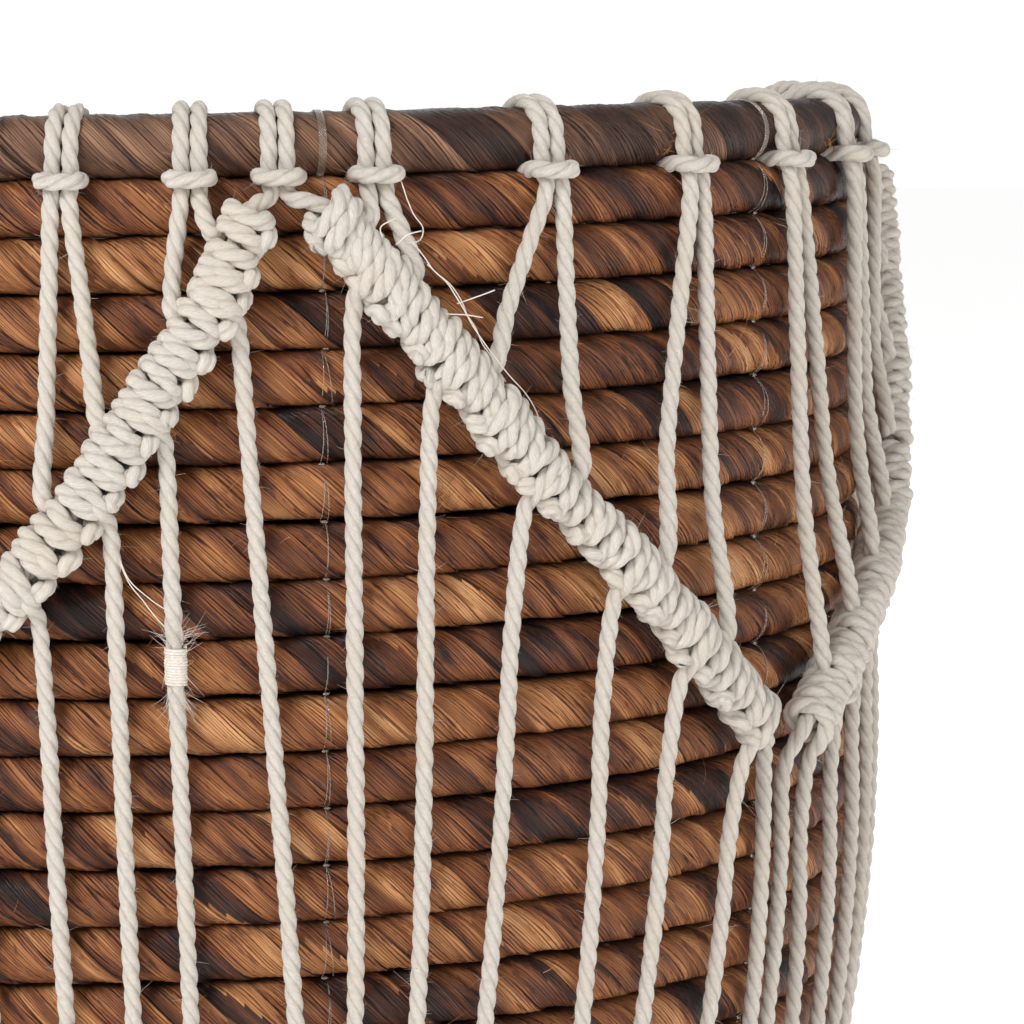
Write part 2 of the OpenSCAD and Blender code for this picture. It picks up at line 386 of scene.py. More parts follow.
def leaf_material(name, stops):
    """Dried leaf strips: fine fibres along each strip, dark veins, blotches and a satin sheen.

    The fibre map runs in millimetres: across the strip, then along it. The tone layer holds the strip's own
    tone, how near its edge a place is, and how deep in a gap it lies. The last two are painted shade: darker
    along strip edges, and near black deep in the gaps between coils."""
    n = Nodes(name)
    fibre = n.add("ShaderNodeUVMap", uv_map="fibre").outputs[0]
    tone = n.add(
        "ShaderNodeSeparateColor", {0: n.add("ShaderNodeAttribute", attribute_name="tone").outputs["Color"]}
    )
    strip_tone, edge, gap_shade = tone.outputs
    across = n.add("ShaderNodeSeparateXYZ", {0: fibre}).outputs[0]
    drift = n.noise(n.stretched(fibre, (0.22, 0.02, 1)), 1.0, 2.0, 0.5)
    fine = n.noise(n.stretched(fibre, (1.0, 0.03, 1)), 3.4, 3.0, 0.75)
    blotch = n.noise(n.stretched(fibre, (0.24, 0.07, 1)), 0.6, 3.0, 0.5)
    patch = n.noise(n.stretched(fibre, (0.5, 0.2, 1)), 0.45, 4.0, 0.65)
    fleck = n.noise(n.stretched(fibre, (1.0, 0.3, 1)), 1.3, 2.0, 0.5)
    crease = n.noise(n.stretched(fibre, (0.5, 0.03, 1)), 0.7, 2.0, 0.5)
    vein_at = n.math("ADD", n.math("MULTIPLY", across, 1.02), n.math("MULTIPLY", drift, 6.0))
    rib = n.from_half(vein_at)
    vein = n.math("MULTIPLY", n.fit(rib, 0.02, 0.15, 1.0, 0.0), n.fit(fine, 0.36, 0.56, 0.3, 1.0))
    level = n.math("ADD", strip_tone, n.fit(fine, 0.3, 0.7, -0.1, 0.1))
    level = n.math("ADD", level, n.fit(blotch, 0.34, 0.66, -0.16, 0.34))
    level = n.math("ADD", level, n.fit(patch, 0.56, 0.64, 0.0, 0.26))
    level = n.math("ADD", level, n.fit(fleck, 0.64, 0.72, 0.0, 0.3))
    level = n.math("ADD", level, n.math("MULTIPLY", vein, n.fit(crease, 0.35, 0.65, 0.32, 0.75)))
    # Painted shade: places where a strip begins, tucked under the one before, and its step are made darker.
    level = n.math("ADD", level, n.math("MULTIPLY", edge, 0.45), clamp=True)
    colour = n.ramp(level, stops)
    # Painted shade: the colour is mixed towards near black deep in the gaps between coils.
    colour = n.mix(n.fit(gap_shade, 0.0, 1.0, 0.0, 0.93), colour, (0.010, 0.005, 0.004, 1))
    height = n.math("SUBTRACT", n.math("MULTIPLY", fine, 0.4), n.math("MULTIPLY", vein, 0.8))
    height = n.math("ADD", height, n.math("MULTIPLY", crease, 1.8))
    n.set(
        Base_Color=colour,
        Roughness=n.fit(n.math("ADD", fine, n.math("MULTIPLY", level, -0.2)), 0.2, 0.7, 0.32, 0.58),
        Normal=n.bump(height, 0.0006),
        Specular_IOR_Level=0.42,
    )
    return n.material


PLIES = 3
PLY_WIDTH = TURN * 1.7 / PLIES


def cotton_material(name, white):
    """Matte twisted cotton: fine fibres along each ply, painted shade in the grooves between plies, faint
    yellowing and a few dark seed specks.
    """
    n = Nodes(name)
    fibre = n.add("ShaderNodeUVMap", uv_map="fibre").outputs[0]
    place = n.add("ShaderNodeTexCoord").outputs["Object"]
    strand = n.noise(n.stretched(fibre, (3.2, 0.5, 1)), 1.6, 3.0, 0.7)
    stain = n.noise(place, 55.0, 2.0, 0.5)
    speck = n.noise(n.stretched(fibre, (1.0, 0.5, 1)), 1.9, 1.0, 0.4)
    across = n.add("ShaderNodeSeparateXYZ", {0: fibre}).outputs[0]
    in_ply = n.from_half(n.math("DIVIDE", across, PLY_WIDTH))
    dark = tuple(c * 0.74 for c in white)
    colour = n.mix(n.fit(strand, 0.35, 0.65, 0.0, 1.0), (*dark, 1), (*white, 1))
    # Painted shade: the colour is darkened towards brown in the grooves between plies.
    colour = n.mix(n.fit(in_ply, 0.34, 0.5, 0.0, 0.4), colour, (0.40, 0.32, 0.24, 1))
    colour = n.mix(n.fit(stain, 0.45, 0.75, 0.0, 0.35), colour, (0.70, 0.60, 0.44, 1))
    colour = n.mix(n.fit(speck, 0.795, 0.83, 0.0, 0.75), colour, (0.20, 0.13, 0.08, 1))
    n.set(Base_Color=colour, Roughness=0.9, Normal=n.bump(strand, 0.0005))
    n.set(Sheen_Weight=0.25, Sheen_Roughness=0.5, Specular_IOR_Level=0.2)
    return n.material


def thread_material():
    """Clear drawn nylon with faint draw lines."""
    n = Nodes("clear_thread")
    place = n.add("ShaderNodeTexCoord").outputs["Object"]
    lines = n.noise(place, 900.0, 2.0, 0.5)
    tint = n.mix(n.fit(lines, 0.3, 0.7, 0.0, 1.0), (0.90, 0.84, 0.76, 1), (0.80, 0.72, 0.62, 1))
    n.set(Base_Color=tint, Roughness=n.fit(lines, 0.3, 0.7, 0.08, 0.25))
    n.set(Transmission_Weight=0.85, IOR=1.45)
    return n.material


def liner_material():
    """Matte dark moulded plastic with a fine grain."""
    n = Nodes("liner_plastic")
    place = n.add("ShaderNodeTexCoord").outputs["Object"]
    grain = n.noise(place, 1400.0, 3.0, 0.6)
    scuff = n.noise(place, 25.0, 4.0, 0.6)
    colour = n.mix(n.fit(scuff, 0.35, 0.75, 0.0, 1.0), (0.035, 0.034, 0.032, 1), (0.060, 0.058, 0.054, 1))
    n.set(
        Base_Color=colour,
        Roughness=n.fit(scuff, 0.3, 0.7, 0.45, 0.65),
        Normal=n.bump(grain, 0.0001),
    )
    return n.material


LEAF_STOPS = [
    (0.0, (0.70, 0.35, 0.15)),
    (0.2, (0.48, 0.195, 0.066)),
    (0.42, (0.27, 0.087, 0.028)),
    (0.66, (0.105, 0.030, 0.012)),
    (0.85, (0.042, 0.012, 0.007)),
    (1.0, (0.014, 0.005, 0.004)),
]
RIM_STOPS = [
    (0.0, (0.36, 0.19, 0.11)),
    (0.3, (0.185, 0.088, 0.050)),
    (0.6, (0.080, 0.033, 0.020)),
    (1.0, (0.018, 0.008, 0.006)),
]
leaf = leaf_material("leaf_rope", LEAF_STOPS)
rim_leaf = leaf_material("rim_leaf_rope", RIM_STOPS)
cotton = cotton_material("cotton_cord", (0.86, 0.785, 0.70))
thread = thread_material()
liner_plastic = liner_material()


# ---- Rope ----

STRIPS = 3
STRIP_SHARES = np.array([0, 0.04, 0.1, 0.18, 0.27, 0.36, 0.45, 0.54, 0.63, 0.72, 0.81, 0.89, 0.96, 1.0])
ROPE_COLUMNS = STRIPS * len(STRIP_SHARES)
RING_STEP = 2.0
FIBRE_SLOPE = math.tan(math.radians(46))
FIRST_TURN = -1 - ROPE_END_ANGLE / 360
LAST_TURN = COIL_COUNT - 0.5
EVEN_TURNS = 13
FLOOR_TURN = LAST_TURN - 1
# A new leaf's tip is cut on a slant that is this many rings long.
TIP_RINGS = 22
DARK_SHARE = 0.1
LEAF_LENGTHS = (30, 120)
DARK_TONES = (0.45, 0.75)
WALL_HALF_HEIGHT = 6.72
WALL_HALF_DEPTH = 6.85
RIM_HALF_SIZE = RIM_RADIUS + 0.1
# Where the thick rim turn ends, and the share of a turn over which it thins to the wall's size.
RIM_END_TURN = FIRST_TURN + 1.03
RIM_BLEND_TURNS = 0.12
# The rope's end on the rim: over what lengths it thickens and rises to its place, and how low it starts.
END_TAPER_LENGTH = 70
END_SINK_LENGTH = 90
END_SINK = 5.5


def rope_drop(turn):
    """How far down the wall the rope has come. It rises to the right and lies level on the floor."""
    low_start = RIM_DROP + COIL_PITCH * EVEN_TURNS
    low_pitch = (WALL_LENGTH - low_start) / (FLOOR_TURN - EVEN_TURNS)
    drop = RIM_DROP + COIL_PITCH * turn
    drop = np.where(turn < 0, RIM_DROP + (RIM_DROP - 0.15) * turn, drop)
    drop = np.where(turn > EVEN_TURNS, low_start + low_pitch * (turn - EVEN_TURNS), drop)
    return np.minimum(drop, WALL_LENGTH)


class Rope:
    """The random make-up of one rope: where its strips' edges run, and each leaf's tone and lift."""

    def __init__(self, seed, length):
        rng = np.random.default_rng(seed)
        self.count = int(length / RING_STEP) + 2 + TIP_RINGS
        self.edges = np.stack([smooth_noise(rng, self.count, 27) for _ in range(STRIPS)])
        self.sway = smooth_noise(rng, self.count, 38)
        self.size = smooth_noise(rng, self.count, 22) * 0.22 + smooth_noise(rng, self.count, 9) * 0.12
        self.leaf_id = np.zeros((STRIPS, self.count))
        self.tone = np.zeros((STRIPS, self.count))
        self.lift = np.zeros((STRIPS, self.count))
        self.fold = np.zeros((STRIPS, self.count))
        number = 0
        mood = smooth_noise(rng, self.count, 55)
        for strip in range(STRIPS):
            at = 0
            while at < self.count:
                run = int(rng.uniform(*LEAF_LENGTHS) / RING_STEP * (1 + rng.random()))
                here = slice(at, at + run)
                number += 1
                dark = rng.random() < DARK_SHARE + 0.6 * mood[at]
                self.leaf_id[strip, here] = number
                light = 0.27 + 0.12 * mood[at]
                tone = rng.uniform(*DARK_TONES) if dark else light + rng.uniform(-0.14, 0.14)
                self.tone[strip, here] = tone
                self.lift[strip, here] = rng.uniform(0.1, 1.0)
                self.fold[strip, here] = rng.uniform(-0.45, 0.4)
                at += run
        window = np.hanning(9) / np.hanning(9).sum()
        for strip in range(STRIPS):
            for values in (self.lift, self.fold):
                values[strip] = np.convolve(values[strip], window, "same")

    def ring_shape(self, at):
        """For the rings numbered at: each column's angle and outward step, and 1 where a strip begins."""
        starts = (np.arange(STRIPS)[:, None] + 0.3 * self.edges[:, at]) / STRIPS
        ends = np.vstack([starts[1:], starts[:1] + 1])
        share = STRIP_SHARES[None, :, None]
        angle = (starts[:, None] + (ends - starts)[:, None] * share) * TURN
        lift = self.lift[:, None, at] * (share**1.3 - 0.45)
        fold = self.fold[:, None, at] * np.sin(share * math.pi * 2) * np.sin(share * math.pi)
        edge = np.broadcast_to(np.where(share < 0.02, 1.0, 0.0), lift.shape)
        return angle, lift + fold, edge


def even_tones(count, tone):
    """The tone layer of count quads that are away from edges and gaps."""
    tones = np.zeros((count, 4, 4))
    tones[..., 0] = tone
    tones[..., 3] = 1
    return tones


def rope_mesh(rope, first, centres, outs, ups, half_height, half_depth, squareness, along, taper):
    """Points, quads, fibre map and tones of a stretch of rope. Rings run along, columns follow the fibres."""
    count = len(centres)
    at = np.arange(first, first + count)
    angle, step, edge = rope.ring_shape(at)
    columns = ROPE_COLUMNS
    theta = angle + along * FIBRE_SLOPE / ROPE_RADIUS
    cosine, sine = np.cos(theta), np.sin(theta)
    size = (np.abs(cosine) ** squareness + np.abs(sine) ** squareness) ** (-1 / squareness)
    across = (size * half_depth + step + rope.size[at]) * cosine * taper
    upward = (size * half_height + step * 0.8) * sine * taper
    points = (
        centres[:, None, None]
        + across.transpose(2, 0, 1)[..., None] * outs[:, None, None]
        + upward.transpose(2, 0, 1)[..., None] * ups[:, None, None]
    ).reshape(-1, 3)
    quads = grid_quads(count, columns)
    row, column, corner_row, corner_column = quad_corners(quads, columns)
    strip, in_strip = np.divmod(column, len(STRIP_SHARES))
    is_step = in_strip == len(STRIP_SHARES) - 1
    flat_angle = angle.transpose(2, 0, 1).reshape(count, columns)
    wrapped = corner_column >= columns
    corner_angle = flat_angle[corner_row, corner_column % columns] + wrapped * TURN
    tip = at[row] + (TIP_RINGS * STRIP_SHARES[in_strip]).astype(int)
    number = rope.leaf_id[strip, tip]
    uv = np.stack(
        [corner_angle * ROPE_RADIUS + 41.7 * number[:, None], along[corner_row]], axis=-1
    )
    tones = even_tones(len(quads), rope.tone[strip, tip][:, None])
    # Painted shade: the tone layer's second value darkens the colour where each strip begins and on its step,
    # as the shade under the tucked edge.
    flat_edge_shade = edge.transpose(2, 0, 1).reshape(count, columns)
    tones[..., 1] = np.maximum(flat_edge_shade[corner_row, corner_column % columns], is_step[:, None])
    # Painted shade: where the section faces along ups (on the wall, into the gaps between coils), the tone
    # layer's third value marks the colour to be painted near black.
    flat_sine = np.abs(np.broadcast_to(sine, angle.shape).transpose(2, 0, 1).reshape(count, columns))
    painted_gap_shade = np.clip((flat_sine[corner_row, corner_column % columns] - 0.85) / 0.15, 0, 1)
    tones[..., 2] = painted_gap_shade
    return points, quads, uv, tones


def wall_rope():
    """The whole wall and rim as one rope that climbs, one piece for each turn."""
    turns_total = LAST_TURN - FIRST_TURN
    pieces = math.ceil(turns_total)
    rings_a_turn = int(round(TURN * COIL_LINE_RADIUS / RING_STEP))
    rope = Rope(11, turns_total * rings_a_turn * RING_STEP + 20)
    for piece in range(pieces):
        last_step = min((piece + 1) * rings_a_turn, int(turns_total * rings_a_turn))
        steps = np.arange(piece * rings_a_turn, last_step + 1)
        turn = FIRST_TURN + steps / rings_a_turn
        angle = -360 * turn
        drop = rope_drop(turn) + 0.45 * rope.sway[steps]
        rim_share = ease(np.clip((RIM_END_TURN - turn) / RIM_BLEND_TURNS, 0, 1))
        offset = rim_share * (RIM_LINE_RADIUS - COIL_LINE_RADIUS)
        centres = wall_place(angle, drop, offset)
        outs = wall_place(angle, drop, offset + 1) - centres
        ups = np.cross(outs, unit(np.gradient(centres, axis=0)))
        ups = ups * np.sign(ups[:, 2:3])
        low = np.clip((turn - 10) / 4, 0, 1)
        half_height = WALL_HALF_HEIGHT + 0.33 * low + rim_share * (RIM_HALF_SIZE - WALL_HALF_HEIGHT)
        half_depth = WALL_HALF_DEPTH + rim_share * (RIM_HALF_SIZE - WALL_HALF_DEPTH)
        from_end = (turn - FIRST_TURN) * rings_a_turn * RING_STEP
        taper = np.clip(0.35 + 0.65 * np.sqrt(np.clip(from_end / END_TAPER_LENGTH, 0, 1)), 0, 1)
        sink = END_SINK * np.clip(1 - from_end / END_SINK_LENGTH, 0, 1)
        centres = centres - sink[:, None] * UP
        squareness = 2.0 + 0.35 * (1 - rim_share)
        mesh = rope_mesh(
            rope, piece * rings_a_turn, centres, outs, ups, half_height, half_depth, squareness,
            steps * RING_STEP, taper,
        )
        if piece == 0:
            mesh = close_end(*mesh, at_start=True)
        if piece == pieces - 1:
            mesh = close_end(*mesh, at_start=False)
        points, quads, uv, tones = mesh
        if piece == 0:
            name, material, slot, node = "rim_rope", rim_leaf, "rim_rope", "rim_coil"
        else:
            name, material, slot, node = f"wall_rope_{piece:02d}", leaf, "leaf_rope", "wall_coil"
        make_piece(name, points, quads, "basket", material, (node,), uv, tones)


def close_end(points, quads, uv, tones, at_start):
    """The same rope mesh with dark quads over one of its ends."""
    start = 0 if at_start else len(points) - ROPE_COLUMNS
    caps = cap_quads(ROPE_COLUMNS, start, at_start)
    flat = np.zeros((len(caps), 4, 2))
    dark = even_tones(len(caps), 0.6)
    return points, np.vstack([quads, caps]), np.vstack([uv, flat]), np.vstack([tones, dark])


wall_rope()


def base_rope():
    """The floor of the basket: the same rope wound flat, from the wall in to the middle."""
    _, high = box_mm("base_coil")
    turns = 10
    half_height = 6.3
    inner = 4.2
    outer = high[0] - 6.8
    pitch = outer / turns
    angle = [0.0]
    r = outer
    while r > inner:
        angle.append(angle[-1] + RING_STEP / r)
        r = outer - pitch * angle[-1] / TURN
    angle = np.array(angle)
    radius = outer - pitch * angle / TURN
    outs = np.stack([np.sin(angle), -np.cos(angle), np.zeros_like(angle)], axis=1)
    centres = outs * radius[:, None]
    centres[:, 2] = half_height + 0.4
    ups = np.tile(UP, (len(angle), 1))
    rope = Rope(29, len(angle) * RING_STEP + 20)
    along = np.arange(len(angle)) * RING_STEP
    mesh = rope_mesh(rope, 0, centres, outs, ups, half_height, pitch / 2, 2.2, along, 1.0)
    mesh = close_end(*mesh, at_start=True)
    points, quads, uv, tones = close_end(*mesh, at_start=False)
    make_piece("base_rope", points, quads, "basket", leaf, ("base_coil",), uv, tones)


base_rope()


# ---- Cotton cord ----

COLUMNS_A_PLY = 6
PLY_OFFSET = 0.75
PLY_RADIUS = 1.27
PLY_TWIST = TURN / 15.0
CORD_STEP = 0.9
HAIRS_A_MM = 2.0
HAIR_RADIUS = 0.065
HAIR_ROOT = 1.35
# How thick the cord is where it hangs and where it is tied, as a share of its usual size.
THICKNESS = 1.04
HITCH_THICKNESS = 1.16


def cord_mesh(line, thickness, rng):
    """A three-ply twisted cord along a line, with loose fibres. thickness scales its radius."""
    tangents, sides, overs = frames_along(line)
    count = len(line)
    along = line_lengths(line)
    in_ply = (np.arange(COLUMNS_A_PLY) / COLUMNS_A_PLY - 0.5) * TURN / PLIES
    reach = PLY_OFFSET * np.cos(in_ply) + np.sqrt(PLY_RADIUS**2 - (PLY_OFFSET * np.sin(in_ply)) ** 2)
    columns = PLIES * COLUMNS_A_PLY
    eta = (np.arange(PLIES)[:, None] * TURN / PLIES + in_ply[None]).ravel()
    reach = np.tile(reach, PLIES)
    loose = 1 + 0.05 * smooth_noise(rng, count, 7)
    ring = eta[None] - (along * PLY_TWIST)[:, None]
    size = reach[None] * (thickness * loose)[:, None]
    points = (
        line[:, None]
        + (size * np.cos(ring))[..., None] * sides[:, None]
        + (size * np.sin(ring))[..., None] * overs[:, None]
    ).reshape(-1, 3)
    quads = grid_quads(count, columns)
    _, _, corner_row, corner_column = quad_corners(quads, columns)
    uv = np.stack([corner_column * (PLY_WIDTH / COLUMNS_A_PLY), along[corner_row]], axis=-1)
    caps = np.vstack([
        cap_quads(columns, 0, True),
        cap_quads(columns, (count - 1) * columns, False),
    ])
    cap_uv = np.zeros((len(caps), 4, 2))
    hairs = int(along[-1] * HAIRS_A_MM)
    at = rng.integers(2, count - 2, hairs)
    turn = rng.uniform(0, TURN, hairs)
    out = np.cos(turn)[:, None] * sides[at] + np.sin(turn)[:, None] * overs[at]
    roots = line[at] + out * HAIR_ROOT
    ways = unit(out + tangents[at] * rng.uniform(-1.4, 1.4, (hairs, 1)) + rng.normal(0, 0.25, (hairs, 3)))
    bends = rng.normal(0, 0.7, (hairs, 3))
    lengths = 0.5 + rng.gamma(1.4, 0.45, hairs)
    hair_points, hair_quads = hair_tubes(roots, ways, bends, lengths, HAIR_RADIUS, 3)
    hair_uv = np.zeros((len(hair_quads), 4, 2))
    hair_uv[..., 1] = (np.arange(len(hair_quads)) % 97)[:, None]
    quads = np.vstack([quads, caps, hair_quads + len(points)])
    return np.vstack([points, hair_points]), quads, np.vstack([uv, cap_uv, hair_uv])


def chain_edge(ends, k, end):
    """Place on the edge of a chain of hitches, near its start (0) or its end (1)."""
    side, inset = (7.3, 4.0) if end == 0 else (6.5, 3.0)
    a, b = np.array(ends[k], float), np.array(ends[k + 1], float)
    run = np.array([(b[0] - a[0]) / arc_angle(1), b[1] - a[1]])
    along = run / np.linalg.norm(run)
    up = np.array([along[1], -along[0]])
    start, way = (a, 1) if end == 0 else (b, -1)
    step = way * (inset * along + side * up)
    return start + np.array([arc_angle(step[0]), step[1]])


def strand_down(angle, drop, end_angle):
    """Places from the band down to the strand's end under the foot cord."""
    drops = np.linspace(drop, STRAND_END_DROP, 9)
    angles = angle + (end_angle - angle) * (drops - drop) / (STRAND_END_DROP - drop)
    return [(a, d, STRAND_OFFSET) for a, d in zip(angles, drops)]


# The lark's head under the rim: distance out from the rim's centre line, down from it, and sideways from
# the knot's middle, from behind the rim to the bar in front.
HEAD_UNDER_RIM = [(-5.5, 7.6, 2.6), (0.5, 7.4, 3.2), (7.0, 7.2, 3.9), (11.0, 7.0, 4.6), (13.3, 7.3, 3.6)]


def head_points(knot, side):
    """From the front of the rim, over it, through under it and out to the bar, at angle knot."""
    lift = COIL_PITCH * float(climb_angle(knot)) / 360
    turn = math.radians(knot)
    out = np.array([math.sin(turn), -math.cos(turn), 0])
    beside = np.array([math.cos(turn), math.sin(turn), 0]) * side
    centre = out * RIM_LINE_RADIUS + UP * (RIM_Z + lift)
    points = []
    for angle in range(0, 225, 25):
        a = math.radians(angle)
        around = math.cos(a) * out + math.sin(a) * UP
        points.append(centre + beside * (CORD_RADIUS + 0.05) + HEAD_RADIUS * around)
    for away, down, apart in HEAD_UNDER_RIM:
        points.append(centre + beside * apart + out * away - UP * down)
    return points


def strand_start(knot, side):
    """The strand under its lark's head, from just below the bar up to the front of the rim."""
    a = knot + side * arc_angle(CORD_RADIUS + 0.1)
    front = RIM_LINE_RADIUS + HEAD_RADIUS - COIL_LINE_RADIUS
    return [
        net_place(a, 3, front + 0.2),
        net_place(a, 8, front + 1.0),
        net_place(a, HEAD_BAR_DROP, STRAND_OFFSET),
    ]


# A pair of hitches: angle round the holding cord from its front towards the band's upper edge, distance
# from its middle, and share of the pair's length. The strand goes over the front and behind, makes a loop
# along the band's lower edge, and comes back behind and over the front under that loop.
PAIR_LENGTH = 8.0
PAIR_SHAPE = [
    (-100, 4.5, 0.03), (-58, 4.7, 0.08), (-15, 4.5, 0.15), (30, 4.4, 0.20), (75, 4.4, 0.23),
    (120, 4.2, 0.25), (165, 4.0, 0.27), (210, 4.0, 0.31), (248, 4.7, 0.35),
    (-86, 6.4, 0.42), (-66, 6.9, 0.54), (-72, 6.8, 0.67), (-110, 5.4, 0.77),
    (-160, 4.1, 0.80), (155, 4.0, 0.77), (115, 4.2, 0.74), (78, 4.4, 0.72),
    (35, 4.4, 0.71), (-10, 4.5, 0.72), (-50, 4.6, 0.78), (-85, 4.7, 0.88),
]
CHAIN_START = -3.0
FIRST_CHAIN_START = 1.0
CHAIN_END = -2.5
# A strand that reaches the band sooner than this goes straight to it.
SHORTEST_FREE_DROP = 18


def hitch_points(peak, turn, k, rng):
    """A strand's wraps round the holding cord: from above, over its front, and back behind it."""
    ends = LEFT_CHAIN_ENDS if turn < 0 else RIGHT_CHAIN_ENDS
    slant = 1.0 if turn < 0 else 3.0
    a = net_place(peak + turn * ends[k][0], ends[k][1], HOLDING_OFFSET)
    b = net_place(peak + turn * ends[k + 1][0], ends[k + 1][1], HOLDING_OFFSET)
    length = np.linalg.norm(b - a)
    way = (b - a) / length
    middle = peak + turn * (ends[k][0] + ends[k + 1][0]) / 2
    out = np.array([math.sin(math.radians(middle)), -math.cos(math.radians(middle)), 0])
    out = unit(out - way * (out @ way))
    edge = np.cross(way, out)
    edge = edge * np.sign(edge[2])
    first = FIRST_CHAIN_START if k == 0 else CHAIN_START
    covered = length + CHAIN_END - first
    count = max(3, round(covered / PAIR_LENGTH))
    pitch = covered / count

    def near(angle, distance, along):
        turned = math.radians(angle)
        return a + way * along + distance * (math.cos(turned) * out + math.sin(turned) * edge)

    points = [near(88, 5.6, first + 7.5), near(140, 4.6, first + 4.0), near(-140, 4.4, first)]
    for i in range(count):
        swell = 1 + rng.normal(0, 0.07)
        shift = rng.normal(0, 0.55)
        tilt = slant * (1 + rng.normal(0, 0.4))
        for angle, distance, share in PAIR_SHAPE:
            lean = -tilt * math.sin(math.radians(angle)) / 2 if math.cos(math.radians(angle)) > 0 else 0
            along = first + (i + share) * pitch + lean + shift + rng.normal(0, 0.22)
            points.append(near(angle + rng.normal(0, 5), distance * swell + rng.normal(0, 0.25), along))
    points = points[:-2]
    points.append(near(-62, 6.2, length + CHAIN_END - 0.3))
    return points


def tied_strand(peak, knot, side, turn, k, rng):
    """Points of a strand that ties chain k, from under its lark's head to the foot."""
    ends = LEFT_CHAIN_ENDS if turn < 0 else RIGHT_CHAIN_ENDS
    entry = chain_edge(ends, k, 0)
    leave = chain_edge(ends, k, 1)
    points = strand_start(peak + knot, side)
    start_angle = peak + knot + side * arc_angle(CORD_RADIUS + 0.1)
    free_drop = entry[1] - HEAD_BAR_DROP
    if free_drop > SHORTEST_FREE_DROP:
        for share in (0.35, 0.7):
            angle = start_angle + (peak + turn * entry[0] - start_angle) * share
            drop = HEAD_BAR_DROP + free_drop * share
            points.append(net_place(angle, drop, STRAND_OFFSET + 0.8 * share))
    start = len(points)
    points += hitch_points(peak, turn, k, rng)
    knotted = (start, len(points))
    foot_share = (LEFT_FOOT_SHARES if turn < 0 else RIGHT_FOOT_SHARES)[k]
    down = strand_down(peak + turn * leave[0], leave[1], peak + turn * foot_share * leave[0])
    points.append(net_place(peak + turn * leave[0], leave[1] + 3, STRAND_OFFSET + 3.4))
    points += [net_place(*place) for place in down[1:]]
    return points, knotted


def holding_strand(peak, side):
    """Points of a strand that runs inside the band and then hangs from the valley."""
    ends = LEFT_CHAIN_ENDS if side < 0 else RIGHT_CHAIN_ENDS
    valley = REPEAT_ANGLE / 2
    points = strand_start(peak, side)
    points += [net_place(peak + side * a, d, HOLDING_OFFSET) for a, d in ends]
    down = strand_down(peak + side * (valley - 1.5), ends[-1][1] + 9, peak + side * (valley - 1))
    points += [net_place(*place) for place in down]
    return points, (0, 0)


def net_cord(index):
    """One cord: its two strands joined by the lark's head over the rim."""
    rng = np.random.default_rng(500 + index)
    repeat, at = divmod(index, len(KNOT_ANGLES))
    peak = FIRST_PEAK_ANGLE + repeat * REPEAT_ANGLE
    knot = KNOT_ANGLES[at]
    strands = []
    for side in (-1, 1):
        if at == PEAK_KNOT:
            strands.append(holding_strand(peak, side))
        else:
            turn = -1 if at < PEAK_KNOT else 1
            # Chains are numbered from the peak outwards, and a cord's inner strand ties the first of its two.
            k = 2 * abs(at - PEAK_KNOT) - (1 if side == turn else 2)
            strands.append(tied_strand(peak, knot, side, turn, k, rng))
    left_head = head_points(peak + knot, -1)
    right_head = head_points(peak + knot, 1)
    (left, left_knotted), (right, right_knotted) = strands
    points = left[::-1] + left_head + right_head[::-1] + right
    swell = np.full(len(points), THICKNESS)
    swell[len(left) - left_knotted[1] : len(left) - left_knotted[0]] = HITCH_THICKNESS
    right_start = len(points) - len(right)
    swell[right_start + right_knotted[0] : right_start + right_knotted[1]] = HITCH_THICKNESS
    line, share_at = curve_through(points, CORD_STEP)
    thickness = np.interp(share_at, np.arange(len(points)), swell)
    points, quads, uv = cord_mesh(line, thickness, rng)
    number = f"{index + 1:02d}"
    make_piece(
        f"net_cord_{number}", points, quads, "basket", cotton, (f"cord_{number}",), uv
    )


for cord_index in range(REPEAT_COUNT * len(KNOT_ANGLES)):
    net_cord(cord_index)


def foot_ring():
    """The cord tied round the strands' ends, just above the floor."""
    rng = np.random.default_rng(77)
    angle = np.linspace(0, 358.6, 1400)
    line = wall_place(angle, FOOT_RING_DROP, FOOT_RING_OFFSET + 0.3 * smooth_noise(rng, len(angle), 40))
    points, quads, uv = cord_mesh(line, np.full(len(line), THICKNESS), rng)
    make_piece("foot_tie", points, quads, "basket", cotton, ("foot_cord",), uv)


foot_ring()


# ---- Clear thread ----

def tube(line, radius, sides=6):
    """Points and quads of a plain thin tube with closed ends."""
    _, side, over = frames_along(line)
    angle = np.arange(sides) * TURN / sides
    points = (
        line[:, None]
        + radius * np.cos(angle)[None, :, None] * side[:, None]
        + radius * np.sin(angle)[None, :, None] * over[:, None]
    ).reshape(-1, 3)
    quads = np.vstack([
        grid_quads(len(line), sides),
        cap_quads(sides, 0, True),
        cap_quads(sides, (len(line) - 1) * sides, False),
    ])
    return points, quads


def join(parts):
    """One set of points and quads from several."""
    points, quads, start = [], [], 0
    for part_points, part_quads in parts:
        points.append(part_points)
        quads.append(part_quads + start)
        start += len(part_points)
    return np.vstack(points), np.vstack(quads)


THREAD_RADIUS = 0.12
THREAD_KNOT_RADIUS = 0.5
# How far the clear threads over the rim stand apart, in degrees from the column.
RIM_STITCH_LEANS = (-0.22, -0.1, 0.02, 0.14, 0.25)
# Thickness of a thread's knot along its length, as a share of its radius.
KNOT_BULGES = np.array([0.3, 0.6, 0.8, 0.6, 0.8, 0.55, 0.3])


def thread_knot(line):
    """Points and quads of a small lumpy knot along a short line."""
    sides = 8
    points, quads = tube(line, THREAD_KNOT_RADIUS, sides)
    rings = points.reshape(len(line), sides, 3)
    rings = line[:, None] + (rings - line[:, None]) * KNOT_BULGES[:, None, None]
    return rings.reshape(-1, 3), quads


